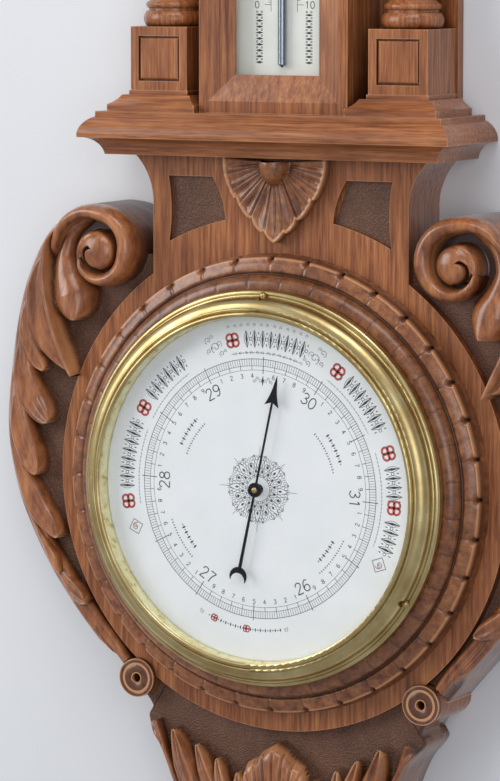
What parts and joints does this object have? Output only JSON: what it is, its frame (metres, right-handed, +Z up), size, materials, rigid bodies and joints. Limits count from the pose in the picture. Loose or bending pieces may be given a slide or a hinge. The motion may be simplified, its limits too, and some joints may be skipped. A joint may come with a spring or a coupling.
{
  "type": "wall barometer",
  "caption": "Carved wooden wall barometer with a round brass-rimmed dial, a boxed thermometer above it and a pointer geared to an aneroid movement.",
  "frame": {"origin": "centre of the hanging plate's hole, on the wall plane that the back of the case lies on", "axes": "+Z up, +X to the right as a viewer faces the dial, +Y into the wall; the dial faces -Y"},
  "size_m": [0.367, 0.0772, 0.841],
  "materials": {
    "oak": "carved oak under a warm brown varnish",
    "brass": "polished brass",
    "clear_glass": "clear glass",
    "opal_plate": "opal plate, cream white",
    "mercury": "liquid mercury",
    "dial_enamel": "white dial with black printed scale",
    "steel": "bright steel",
    "nickel": "nickel silver",
    "blued_steel": "blued steel, nearly black"
  },
  "bodies": {
    "case": {"case_body": "oak", "left_side_carving": "oak", "right_side_carving": "oak", "lower_carving": "oak", "lower_pendant": "oak", "dial_ring_moulding": "oak", "neck_shell": "oak", "cornice_shelf": "oak", "left_pedestal_base": "oak", "right_pedestal_base": "oak", "left_pedestal": "oak", "right_pedestal": "oak", "left_column": "oak", "right_column": "oak", "upper_backboard": "oak", "entablature": "oak", "left_pediment_scroll": "oak", "right_pediment_scroll": "oak", "crest": "oak", "thermometer_case": "oak", "thermometer_frame": "oak", "hanging_plate": "brass", "hanging_plate_screws": "brass", "thermometer_pane": "clear_glass", "thermometer_scale_plate": "opal_plate", "thermometer_tube": "clear_glass", "thermometer_mercury": "mercury", "tube_clips": "brass", "bezel": "brass", "bezel_screws": "brass", "bezel_glass": "clear_glass", "sight_ring": "brass", "dial_plate": "dial_enamel", "movement_drum": "brass", "base_plate": "brass", "base_plate_screws": "steel", "capsule": "nickel", "capsule_stud": "steel", "main_spring": "steel", "rocking_bar_brackets": "brass", "chain": "steel", "hairspring": "steel", "bridge": "brass", "pillars": "brass", "arbor_cock": "brass"},
    "hand": {"arbor": "steel", "pointer": "blued_steel", "pointer_boss": "brass"},
    "lever": {"main_lever": "steel", "link": "steel"},
    "rocker": {"rocking_bar": "steel"},
    "adjuster": {"adjusting_screw": "steel"}
  },
  "joints": [
    {"name": "pointer_turn", "type": "hinge", "parent": "case", "child": "hand", "pos_m": [0, -0.066, -0.56], "axis": [0, 1, 0], "range_deg": [-218, 134]},
    {"name": "main_lever_tilt", "type": "hinge", "parent": "case", "child": "lever", "pos_m": [-0.058, -0.029, -0.56], "axis": [0, 0, 1], "range_deg": [-2.2, 1.4], "deforming": ["main_spring"]},
    {"name": "rocking_bar_turn", "type": "hinge", "parent": "case", "child": "rocker", "pos_m": [0.038, -0.033, -0.56], "axis": [0, 0, 1], "range_deg": [-11, 17.5], "deforming": ["chain"]},
    {"name": "adjusting_screw_turn", "type": "hinge", "parent": "case", "child": "adjuster", "pos_m": [-0.0475, -0.006, -0.56], "axis": [0, 1, 0], "range_deg": [-360, 360]}
  ],
  "couplings": [
    {"joint": "rocking_bar_turn", "follows": "pointer_turn", "ratio": -0.07778},
    {"joint": "main_lever_tilt", "follows": "pointer_turn", "ratio": 0.009608}
  ]
}
